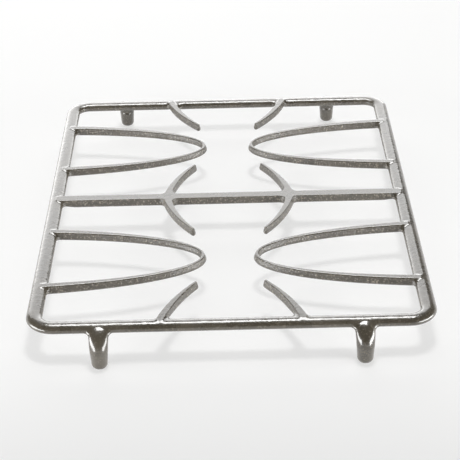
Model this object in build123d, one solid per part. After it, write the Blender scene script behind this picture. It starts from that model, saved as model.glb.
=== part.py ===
from build123d import *
import os
from math import asin, atan2, cos, degrees, hypot, radians, sin, sqrt, tan

# Pan support for two burners, one behind the other: a single enamelled casting.
# X runs across the hob, Y from front to back, Z up. The feet stand on Z = 0.
# Lengths are in millimetres, angles in degrees.

# Frame: an oval bar bent round a rectangle
frame_width = 351.0
frame_depth = 450.0
frame_corner_radius = 25.0
frame_bar_width = 14.0
frame_bar_height = 8.8
crest_height = 34.5

# Bars inside the frame: flat lands just proud of the frame's crest, drafted sides, eased edges
land_rise = 0.4
bar_height = 6.5
draft_angle = 16.0
land_edge_radius = 1.3
under_edge_radius = 2.2
crossing_radius = 6.0
root_end_radius = 2.8
junction_radius = 5.0

# Middle bar
middle_bar_width = 10.0

# Fingers, leaning in from a bar and curving towards a burner
finger_root_width = 7.2
finger_tip_width = 2.4
middle_finger_root = 60.3
middle_finger_lean = 8.6
middle_finger_tip = 33.4
middle_finger_reach = 65.0
outer_finger_root = 61.4
outer_finger_lean = 15.0
outer_finger_tip = 30.2
outer_finger_reach = 61.0

# Loops, half-ellipses reaching in from the side rails and thinning towards the burner
burner_outset = 1.2
loop_tip = 24.4
loop_half_width = 47.4
loop_centre_outset = 46.5
loop_root_width = 6.5
loop_root_height = 7.7
loop_tip_width = 2.7
loop_tip_height = 6.7
loop_draft_angle = 20.0
loop_tip_drop = 1.1

# Legs, bent out of the front and back bars
leg_inset = 63.5
leg_outset = 15.5
leg_radius = 7.8
leg_root_half_width = 9.0
leg_root_cover = 1.2
leg_bend_drop = 14.0
leg_taper = 1.1
foot_radius = 4.5
elbow_stations = (0, 0.3, 0.55, 0.8, 1)
elbow_swell = 1.2

# Shares of a wall that a fillet on it may take, and of an eased underside that a junction fillet may take
tip_share = 0.48
land_share = 0.74
under_share = 0.86
end_share = 0.4
foot_share = 0.7
junction_share = 2.3

# Places that follow from the sizes
rail_x = frame_width / 2 - frame_bar_width / 2
bar_y = frame_depth / 2 - frame_bar_width / 2
burner_y = bar_y / 2 + burner_outset
leg_x = frame_width / 2 - leg_inset
frame_axis_z = crest_height - frame_bar_height / 2
land_z = crest_height + land_rise

# Fillets as far as their walls allow them
tip_radius = tip_share * finger_tip_width
under_tip_radius = tip_radius + bar_height * tan(radians(draft_angle))
under_loop_radius = loop_tip_width / 2 + loop_tip_height * tan(radians(loop_draft_angle))
eased_land = min(land_edge_radius, land_share * tip_radius)
eased_loop_root = min(land_edge_radius, land_share * loop_root_width / 2)
eased_loop_tip = min(land_edge_radius, land_share * loop_tip_width / 2)
eased_under = min(under_edge_radius, under_share * under_tip_radius, under_share * under_loop_radius)
eased_end = min(root_end_radius, end_share * min(middle_bar_width, finger_root_width))
eased_foot = min(foot_radius, foot_share * (leg_radius - leg_taper))
eased_junction = min(junction_radius, junction_share * eased_under)


def frame():
    """Oval bar swept round a rectangle with rounded corners."""
    centre_line = RectangleRounded(2 * rail_x, 2 * bar_y, frame_corner_radius - frame_bar_width / 2)
    path = Pos(0, 0, frame_axis_z) * centre_line.face().outer_wire()
    cut = Plane(origin=(0, -bar_y, frame_axis_z), x_dir=(0, 1, 0), z_dir=(1, 0, 0))
    return sweep(cut * Ellipse(frame_bar_width / 2, frame_bar_height / 2), path=path)


def finger_plan(root, lean, tip, reach):
    """Plan of one finger: an arc from its bar's centre line to the tip, tapering all the way."""
    turn = 2 * (atan2(root - tip, reach) - radians(lean))
    radius = hypot(root - tip, reach) / (2 * sin(turn / 2))
    centre = Vector(root, 0) - Vector(radius, 0).rotate(Axis.Z, lean)

    def edge_point(share, side):
        width = finger_root_width + share * (finger_tip_width - finger_root_width)
        return centre + Vector(radius + side * width / 2, 0).rotate(Axis.Z, lean + degrees(share * turn))

    outer = ThreePointArc(edge_point(0, 1), edge_point(0.5, 1), edge_point(1, 1))
    inner = ThreePointArc(edge_point(1, -1), edge_point(0.5, -1), edge_point(0, -1))
    plan = make_face([outer, Line(outer @ 1, inner @ 0), inner, Line(inner @ 1, outer @ 0)])
    return fillet(plan.vertices().sort_by(Axis.Y)[-2:], tip_radius)


def cast_bar(plan):
    """Plan drawn down from the lands with draft, its upper and lower edges eased."""
    bar = extrude(Pos(0, 0, land_z) * plan, amount=-bar_height, taper=-draft_angle)
    bar = fillet(bar.faces().sort_by(Axis.Z)[0].edges(), eased_under)
    return fillet(bar.faces().sort_by(Axis.Z)[-1].edges(), eased_land)


def middle_bar():
    """Middle bar and the four fingers that cross it, one plan with filleted crossings."""
    finger = finger_plan(middle_finger_root, middle_finger_lean, middle_finger_tip, middle_finger_reach)
    pair = finger + mirror(finger, Plane.XZ)
    plan = RectangleRounded(2 * rail_x, middle_bar_width, eased_end) + pair + mirror(pair, Plane.YZ)
    crossing_end = middle_finger_root + finger_root_width
    crossings = plan.vertices().filter_by(lambda v: abs(v.X) < crossing_end and abs(v.Y) < middle_bar_width)
    return cast_bar(fillet(crossings, crossing_radius))


def outer_finger():
    """Finger on the back bar, right of the middle."""
    plan = finger_plan(outer_finger_root, outer_finger_lean, outer_finger_tip, outer_finger_reach)
    plan = fillet(plan.vertices().sort_by(Axis.Y)[:2], eased_end)
    return Pos(0, bar_y, 0) * cast_bar(mirror(plan, Plane.XZ))


def loop():
    """Half-ellipse loop from the right rail towards the back burner."""
    centre_x = rail_x + loop_centre_outset
    half_length = centre_x - loop_tip
    past_centre = loop_centre_outset / half_length
    half_width = loop_half_width / sqrt(1 - past_centre**2)
    turn = degrees(asin(past_centre))
    arc = EllipticalCenterArc(
        (centre_x, burner_y), half_length, half_width, start_angle=90 + turn, arc_size=180 - 2 * turn
    )
    path = Pos(0, 0, land_z) * arc

    def section(share, width, height, drop, easing):
        spread = height * tan(radians(loop_draft_angle))
        outline = Polyline(
            (-width / 2, -drop),
            (width / 2, -drop),
            (width / 2 + spread, -drop - height),
            (-width / 2 - spread, -drop - height),
            close=True,
        )
        face = make_face(outline)
        face = fillet(face.vertices().sort_by(Axis.Y)[:2], eased_under)
        face = fillet(face.vertices().sort_by(Axis.Y)[-2:], easing)
        way = path % share
        return Plane(origin=path @ share, x_dir=Vector(0, 0, 1).cross(way), z_dir=way) * face

    sections = [
        section(0, loop_root_width, loop_root_height, 0, eased_loop_root),
        section(0.5, loop_tip_width, loop_tip_height, loop_tip_drop, eased_loop_tip),
        section(1, loop_root_width, loop_root_height, 0, eased_loop_root),
    ]
    bar = sweep(sections, path=path, multisection=True)
    ends = bar.faces().filter_by(GeomType.PLANE).sort_by(Axis.X)[-2:]
    return fillet(ends.edges(), eased_loop_root)


def leg():
    """Leg of the back bar, right of the middle: an elbow out of the bar, a tapered peg and a domed foot."""
    root_thickness = frame_bar_height / 2 - leg_root_cover
    sections = []
    for share in elbow_stations:
        turn = radians(90 * share)
        place = (0, leg_outset * sin(turn), frame_axis_z - leg_bend_drop * (1 - cos(turn)))
        heading = (0, leg_outset * cos(turn), -leg_bend_drop * sin(turn))
        across = leg_root_half_width + (leg_radius - leg_root_half_width) * share
        thickness = root_thickness + (leg_radius - root_thickness) * share**elbow_swell
        sections.append(Plane(origin=place, x_dir=(1, 0, 0), z_dir=heading) * Ellipse(across, thickness))
    elbow = loft(sections)
    peg_height = frame_axis_z - leg_bend_drop
    peg = Pos(0, leg_outset, peg_height / 2) * Cone(leg_radius - leg_taper, leg_radius, peg_height)
    peg = fillet(peg.edges().sort_by(Axis.Z)[0], eased_foot)
    return Pos(leg_x, bar_y, 0) * (elbow + peg)


def both_ways(piece):
    """The piece and its mirror images left to right and front to back."""
    pair = [piece, mirror(piece, Plane.YZ)]
    return pair + [mirror(one, Plane.XZ) for one in pair]


def pan_support():
    """The whole casting, with a fillet wherever a bar or leg runs into the frame."""
    ring = frame()
    pieces = [middle_bar()] + both_ways(loop()) + both_ways(outer_finger()) + both_ways(leg())
    casting = ring.fuse(*pieces)
    seams = new_edges(ring, *pieces, combined=casting)
    return fillet(seams, eased_junction)


os.makedirs("parts", exist_ok=True)
export_step(pan_support(), "parts/pan_support.step")
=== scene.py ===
"""Looks of a hob pan support: glossy graphite enamel over a sand casting, on a white studio floor."""
from math import pi, radians, sin

import bmesh
import bpy
import numpy as np
from mathutils import Matrix, Vector


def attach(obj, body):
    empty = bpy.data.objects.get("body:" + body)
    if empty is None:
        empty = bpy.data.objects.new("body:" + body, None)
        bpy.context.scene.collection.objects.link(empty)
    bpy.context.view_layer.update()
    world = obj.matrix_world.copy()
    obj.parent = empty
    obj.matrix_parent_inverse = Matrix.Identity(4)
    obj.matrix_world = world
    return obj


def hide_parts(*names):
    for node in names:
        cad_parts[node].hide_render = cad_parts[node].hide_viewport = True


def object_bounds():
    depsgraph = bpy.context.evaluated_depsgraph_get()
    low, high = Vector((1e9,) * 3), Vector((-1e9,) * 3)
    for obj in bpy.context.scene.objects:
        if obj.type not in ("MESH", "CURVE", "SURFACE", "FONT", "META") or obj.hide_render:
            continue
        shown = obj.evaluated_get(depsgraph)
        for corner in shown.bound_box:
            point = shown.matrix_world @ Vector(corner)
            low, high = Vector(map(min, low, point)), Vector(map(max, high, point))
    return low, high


# Lengths are in metres, angles in degrees.
CASTING = "pan_support"

# Middle bar and fingers: drawn deeper than their solids, except where they run into the frame.
# A fade is the pair of distances from the middle between which the extra depth goes from none to all.
BAR_DEPTH = 0.0065
BAR_EXTRA = 0.0014
BAR_HALF_WIDTH = 0.014
FINGERS_ACROSS = 0.075
FINGERS_MIDDLE = 0.070
FINGERS_OUTER = 0.150
RAIL_FADE = (0.1612, 0.150)
END_FADE = (0.208, 0.194)

# Camera: the photograph is square, and the middle of the frame's crest lies at AIM_PX in it
FRAME_PX = 460
FOCAL_PX = 1411.0
SENSOR_MM = 36.0
CREST_HEIGHT = 0.0345
AIM_PX = (228.7, 194.8)
AIM_DISTANCE = 1.376
PITCH = 30.2
ROLL = -1.35

# Enamel: a dark warm grey with paler flecks under a clear coat; their extra share on the roughcast sides is painted
# glints, lightening those sides
ENAMEL_DARK = (0.052, 0.044, 0.031, 1.0)
ENAMEL_LIGHT = (0.082, 0.070, 0.051, 1.0)
FLECK_AND_GLINT_COLOUR = (0.30, 0.26, 0.20, 1.0)
BODY_IOR = 1.6
GLOSS_ROUGHNESS = 0.22
DULL_ROUGHNESS = 0.34
COAT_IOR = 1.6
COAT_ROUGHNESS = 0.09

# Noise in the enamel: the size and detail of its features, and the stretch of it that is used
CLOUD_SIZE = 0.03
CLOUD_DETAIL = 3
CLOUD_RANGE = (0.35, 0.65)
WAVE_SIZE = 0.005
WAVE_DETAIL = 1
WAVE_DEPTH = 0.00013
GRAIN_SIZE = 0.0016
GRAIN_DETAIL = 2
GRAIN_DEPTH = 0.0008
FLECK_AND_GLINT_RANGE = (0.55, 0.70)

# Roughcast: the sides of all that lies inside the frame's centre line, where the casting is roughest. The extra pale
# flecks there are painted glints.
# Slope is the upward part of a face's normal. Width and depth are distances from the middle.
ROUGHCAST_SLOPE = (0.65, 0.45)
ROUGHCAST_WIDTH = (0.1685, 0.1645)
ROUGHCAST_DEPTH = (0.218, 0.214)
ROUGHCAST_ROUGHNESS = 0.55
SMOOTH_GRAIN = 0.1
SMOOTH_FLECKS = 0.25
# the extra fleck share on the roughcast sides is painted glints, which lighten those sides
ROUGHCAST_FLECKS_AND_GLINTS = 0.9

# Floor: its own white, seen but casting no light, fades towards the front as painted shade, a painted falloff of light
FLOOR_SIZE = 12.0
FLOOR_COLOUR = (0.95, 0.95, 0.942, 1.0)
FLOOR_ROUGHNESS = 0.7
FLOOR_GLOW_COLOUR = (1.0, 1.0, 0.996, 1.0)
FLOOR_GLOW = 0.55
FLOOR_PAINTED_FALLOFF_START = -0.20
FLOOR_PAINTED_FALLOFF_END = -0.89

# Surroundings: white up to the horizon's top, dim above its fade
HORIZON_COLOUR = (1.0, 1.0, 1.0, 1.0)
HORIZON_TOP = 10.0
HORIZON_FADE = 20.0
AMBIENT = 0.08

# Softboxes: one above for the shadow, one behind, one for the highlights and one at each side
TOP_LAMP = {"place": (0.1, 0.05, 2.20), "aim": (0, 0, 0), "width": 0.5, "height": 0.4, "brightness": 28.0}
BACK_LAMP = {"place": (-0.28, 1.35, 0.6), "aim": (-0.28, 0, 0.6), "width": 1.75, "height": 1.2, "brightness": 2.1}
KEY_LAMP = {"place": (0, 1.05, 2.20), "aim": (0, 0, 0), "width": 1.3, "height": 0.75, "brightness": 11.0}
SIDE_LAMP = {"width": 1.5, "height": 0.5, "brightness": 8.5}
SIDE_OUTSET = 1.27
SIDE_ALONG = -0.59
SIDE_HEIGHT = 0.25

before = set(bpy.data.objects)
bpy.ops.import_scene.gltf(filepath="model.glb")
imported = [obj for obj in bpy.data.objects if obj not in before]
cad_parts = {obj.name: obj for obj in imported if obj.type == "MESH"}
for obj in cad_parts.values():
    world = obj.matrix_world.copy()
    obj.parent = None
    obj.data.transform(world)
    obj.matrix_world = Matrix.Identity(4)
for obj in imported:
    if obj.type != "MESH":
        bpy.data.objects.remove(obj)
cad_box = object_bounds()
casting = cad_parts[CASTING]
land_height = cad_box[1][2]


def cut_across(mesh, places):
    """Cut the mesh where its distance from the middle, left and right, is one of the places."""
    cut = bmesh.new()
    cut.from_mesh(mesh)
    for place in places:
        for side in (-1, 1):
            everything = cut.verts[:] + cut.edges[:] + cut.faces[:]
            bmesh.ops.bisect_plane(cut, geom=everything, plane_co=(side * place, 0, 0), plane_no=(1, 0, 0))
    cut.to_mesh(mesh)
    cut.free()


def fade_in(distance, fade):
    """Zero at the fade's first distance, one at its second."""
    return np.clip((fade[0] - distance) / (fade[0] - fade[1]), 0, 1)


def extra_depth(points):
    """How far each point of the middle bar and fingers sinks: not at all on the lands, fully at the underside."""
    across = abs(points[:, 0])
    along = abs(points[:, 1])
    near_fingers = across < FINGERS_ACROSS
    near_middle = (along < BAR_HALF_WIDTH) | (near_fingers & (along < FINGERS_MIDDLE))
    near_end = near_fingers & (along > FINGERS_OUTER)
    end_share = np.where(near_end, fade_in(along, END_FADE), 0)
    share = np.where(near_middle, fade_in(across, RAIL_FADE), end_share)
    return share * BAR_EXTRA * np.clip((land_height - points[:, 2]) / BAR_DEPTH, 0, 1)


def make_casting(enamel):
    """The casting with a deeper middle bar and deeper fingers, shown in place of the plain one."""
    mesh = casting.data.copy()
    cut_across(mesh, RAIL_FADE)
    points = np.empty(3 * len(mesh.vertices))
    mesh.vertices.foreach_get("co", points)
    points = points.reshape(-1, 3)
    points[:, 2] -= extra_depth(points)
    mesh.vertices.foreach_set("co", points.ravel())
    mesh.update()
    mesh.materials[0] = enamel

    piece = bpy.data.objects.new("casting", mesh)
    bpy.context.scene.collection.objects.link(piece)
    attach(piece, "root")
    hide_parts(CASTING)


def make_camera():
    """Camera at the photograph's viewing angle."""
    aim = Vector((0, 0, CREST_HEIGHT))
    turn = Matrix.Rotation(radians(90 - PITCH), 3, "X") @ Matrix.Rotation(radians(ROLL), 3, "Z")
    metres_per_px = AIM_DISTANCE / FOCAL_PX
    aim_right = (AIM_PX[0] - FRAME_PX / 2) * metres_per_px
    aim_up = (FRAME_PX / 2 - AIM_PX[1]) * metres_per_px
    data = bpy.data.cameras.new("camera")
    data.sensor_width = SENSOR_MM
    data.lens = SENSOR_MM * FOCAL_PX / FRAME_PX
    camera = bpy.data.objects.new("camera", data)
    camera.location = aim - turn @ Vector((aim_right, aim_up, -AIM_DISTANCE))
    camera.rotation_euler = turn.to_euler()
    bpy.context.scene.collection.objects.link(camera)
    bpy.context.scene.camera = camera


def add_noise(tree, place, size, detail):
    """Noise texture with features of the given size in metres."""
    noise = tree.nodes.new("ShaderNodeTexNoise")
    noise.inputs["Scale"].default_value = 1 / size
    noise.inputs["Detail"].default_value = detail
    tree.links.new(place.outputs["Object"], noise.inputs["Vector"])
    return noise.outputs["Fac"]


def add_range(tree, value, low, high, to_low, to_high):
    """Map a value from one range to another."""
    span = tree.nodes.new("ShaderNodeMapRange")
    span.inputs["From Min"].default_value = low
    span.inputs["From Max"].default_value = high
    span.inputs["To Min"].default_value = to_low
    span.inputs["To Max"].default_value = to_high
    tree.links.new(value, span.inputs["Value"])
    return span.outputs["Result"]


def add_mix(tree, share, first, second):
    """Mix two colours; either may be a constant or a socket."""
    mix = tree.nodes.new("ShaderNodeMix")
    mix.data_type = "RGBA"
    tree.links.new(share, mix.inputs["Factor"])
    for socket, colour in ((mix.inputs[6], first), (mix.inputs[7], second)):
        if isinstance(colour, tuple):
            socket.default_value = colour
        else:
            tree.links.new(colour, socket)
    return mix.outputs[2]


def add_math(tree, operation, first, second=None):
    """A sum on one or two sockets."""
    node = tree.nodes.new("ShaderNodeMath")
    node.operation = operation
    tree.links.new(first, node.inputs[0])
    if second is not None:
        tree.links.new(second, node.inputs[1])
    return node.outputs[0]


def add_axes(tree, vector):
    """The X, Y and Z of a vector."""
    node = tree.nodes.new("ShaderNodeSeparateXYZ")
    tree.links.new(vector, node.inputs[0])
    return node.outputs


def add_bump(tree, height, depth, share=None, below=None):
    """Bump of a given depth in metres, by shares and over another bump where these are given."""
    bump = tree.nodes.new("ShaderNodeBump")
    bump.inputs["Distance"].default_value = depth
    tree.links.new(height, bump.inputs["Height"])
    if share is not None:
        tree.links.new(share, bump.inputs["Strength"])
    if below is not None:
        tree.links.new(below, bump.inputs["Normal"])
    return bump.outputs["Normal"]


def add_roughcast(tree, place):
    """One on the roughcast sides inside the frame, and zero elsewhere; it places their roughness, grain and painted
    glints.
    """
    facing = tree.nodes.new("ShaderNodeNewGeometry")
    slope = add_axes(tree, facing.outputs["Normal"])["Z"]
    axes = add_axes(tree, place.outputs["Object"])
    across = add_math(tree, "ABSOLUTE", axes["X"])
    along = add_math(tree, "ABSOLUTE", axes["Y"])
    within_width = add_range(tree, across, *ROUGHCAST_WIDTH, 0, 1)
    within_depth = add_range(tree, along, *ROUGHCAST_DEPTH, 0, 1)
    inside = add_math(tree, "MULTIPLY", within_width, within_depth)
    return add_math(tree, "MULTIPLY", add_range(tree, slope, *ROUGHCAST_SLOPE, 0, 1), inside)


def make_enamel():
    """Glossy graphite enamel with clouds, flecks and the casting's grain; heavier pale flecks on the roughcast sides
    are painted glints.
    """
    material = bpy.data.materials.new("graphite_enamel")
    material.use_nodes = True
    tree = material.node_tree
    shader = tree.nodes["Principled BSDF"]
    place = tree.nodes.new("ShaderNodeTexCoord")
    clouds = add_noise(tree, place, CLOUD_SIZE, CLOUD_DETAIL)
    waves = add_noise(tree, place, WAVE_SIZE, WAVE_DETAIL)
    grain = add_noise(tree, place, GRAIN_SIZE, GRAIN_DETAIL)
    roughcast = add_roughcast(tree, place)

    body = add_mix(tree, add_range(tree, clouds, *CLOUD_RANGE, 0, 1), ENAMEL_DARK, ENAMEL_LIGHT)
    flecks = add_range(tree, grain, *FLECK_AND_GLINT_RANGE, 0, 1)
    # painted glints: the pale flecks are heavier on the roughcast sides
    fleck_and_glint_limit = add_range(tree, roughcast, 0, 1, SMOOTH_FLECKS, ROUGHCAST_FLECKS_AND_GLINTS)
    fleck_and_glint_share = add_math(tree, "MULTIPLY", flecks, fleck_and_glint_limit)
    tree.links.new(add_mix(tree, fleck_and_glint_share, body, FLECK_AND_GLINT_COLOUR), shader.inputs["Base Color"])

    gloss = add_range(tree, clouds, *CLOUD_RANGE, GLOSS_ROUGHNESS, DULL_ROUGHNESS)
    rough = add_range(tree, roughcast, 0, 1, 0, ROUGHCAST_ROUGHNESS)
    tree.links.new(add_math(tree, "MAXIMUM", gloss, rough), shader.inputs["Roughness"])
    shader.inputs["IOR"].default_value = BODY_IOR
    shader.inputs["Coat Weight"].default_value = 1.0
    shader.inputs["Coat Roughness"].default_value = COAT_ROUGHNESS
    shader.inputs["Coat IOR"].default_value = COAT_IOR

    flow = add_bump(tree, waves, WAVE_DEPTH)
    grain_share = add_range(tree, roughcast, 0, 1, SMOOTH_GRAIN, 1)
    normal = add_bump(tree, grain, GRAIN_DEPTH, grain_share, flow)
    tree.links.new(normal, shader.inputs["Coat Normal"])
    tree.links.new(normal, shader.inputs["Normal"])
    return material


def add_seen(tree):
    """One for what the camera sees directly, mirrored or through glass, and zero for light that falls on things."""
    path = tree.nodes.new("ShaderNodeLightPath")
    seen = add_math(tree, "MAXIMUM", path.outputs["Is Camera Ray"], path.outputs["Is Glossy Ray"])
    return add_math(tree, "MAXIMUM", seen, path.outputs["Is Transmission Ray"])


def make_floor_white():
    """White that takes the object's shadow, softened by its own white, which fades towards the front as painted shade.
    """
    material = bpy.data.materials.new("white_floor")
    material.use_nodes = True
    tree = material.node_tree
    shader = tree.nodes["Principled BSDF"]
    shader.inputs["Base Color"].default_value = FLOOR_COLOUR
    shader.inputs["Roughness"].default_value = FLOOR_ROUGHNESS
    glow = tree.nodes.new("ShaderNodeEmission")
    glow.inputs["Color"].default_value = FLOOR_GLOW_COLOUR
    place = tree.nodes.new("ShaderNodeTexCoord")
    along = add_axes(tree, place.outputs["Object"])["Y"]
    # painted shade: the floor's own white darkens towards the front, a painted falloff of light
    fade = add_range(tree, along, FLOOR_PAINTED_FALLOFF_END, FLOOR_PAINTED_FALLOFF_START, 0, 1)
    tree.links.new(fade, glow.inputs["Strength"])
    share = add_range(tree, add_seen(tree), 0, 1, 0, FLOOR_GLOW)
    mix = tree.nodes.new("ShaderNodeMixShader")
    tree.links.new(share, mix.inputs[0])
    tree.links.new(shader.outputs[0], mix.inputs[1])
    tree.links.new(glow.outputs[0], mix.inputs[2])
    tree.links.new(mix.outputs[0], tree.nodes["Material Output"].inputs["Surface"])
    return material


def make_floor():
    """Level floor under the feet."""
    mesh = bpy.data.meshes.new("floor")
    half = FLOOR_SIZE / 2
    corners = [(-half, -half, 0), (half, -half, 0), (half, half, 0), (-half, half, 0)]
    mesh.from_pydata(corners, [], [(0, 1, 2, 3)])
    mesh.materials.append(make_floor_white())
    floor = bpy.data.objects.new("floor", mesh)
    bpy.context.scene.collection.objects.link(floor)


def make_softbox(name, place, aim, width, height, brightness, mirrored=True, lighting=True):
    """Area lamp that faces a point. Its brightness is relative to white; it may show only as light or only mirrored."""
    data = bpy.data.lights.new(name, "AREA")
    data.shape = "RECTANGLE"
    data.size = width
    data.size_y = height
    data.energy = brightness * pi * width * height
    lamp = bpy.data.objects.new(name, data)
    lamp.location = place
    lamp.rotation_euler = (Vector(place) - Vector(aim)).to_track_quat("Z", "Y").to_euler()
    lamp.visible_camera = False
    lamp.visible_glossy = mirrored
    lamp.visible_diffuse = lighting
    bpy.context.scene.collection.objects.link(lamp)


def make_world():
    """Dim ambient light over a white horizon."""
    world = bpy.data.worlds.new("studio")
    world.use_nodes = True
    bpy.context.scene.world = world
    tree = world.node_tree
    background = tree.nodes["Background"]
    background.inputs["Color"].default_value = HORIZON_COLOUR
    place = tree.nodes.new("ShaderNodeTexCoord")
    up = add_axes(tree, place.outputs["Generated"])["Z"]
    strength = add_range(tree, up, sin(radians(HORIZON_TOP)), sin(radians(HORIZON_FADE)), 1, AMBIENT)
    tree.links.new(strength, background.inputs["Strength"])


make_camera()
make_casting(make_enamel())
make_floor()
make_world()
make_softbox("top", **TOP_LAMP, mirrored=False)
make_softbox("back", **BACK_LAMP)
make_softbox("key", **KEY_LAMP, lighting=False)
for name, side in (("front_left", -1), ("front_right", 1)):
    make_softbox(name, (side * SIDE_OUTSET, SIDE_ALONG, SIDE_HEIGHT), (0, 0, SIDE_HEIGHT), **SIDE_LAMP)

bpy.context.scene.view_settings.view_transform = "Standard"
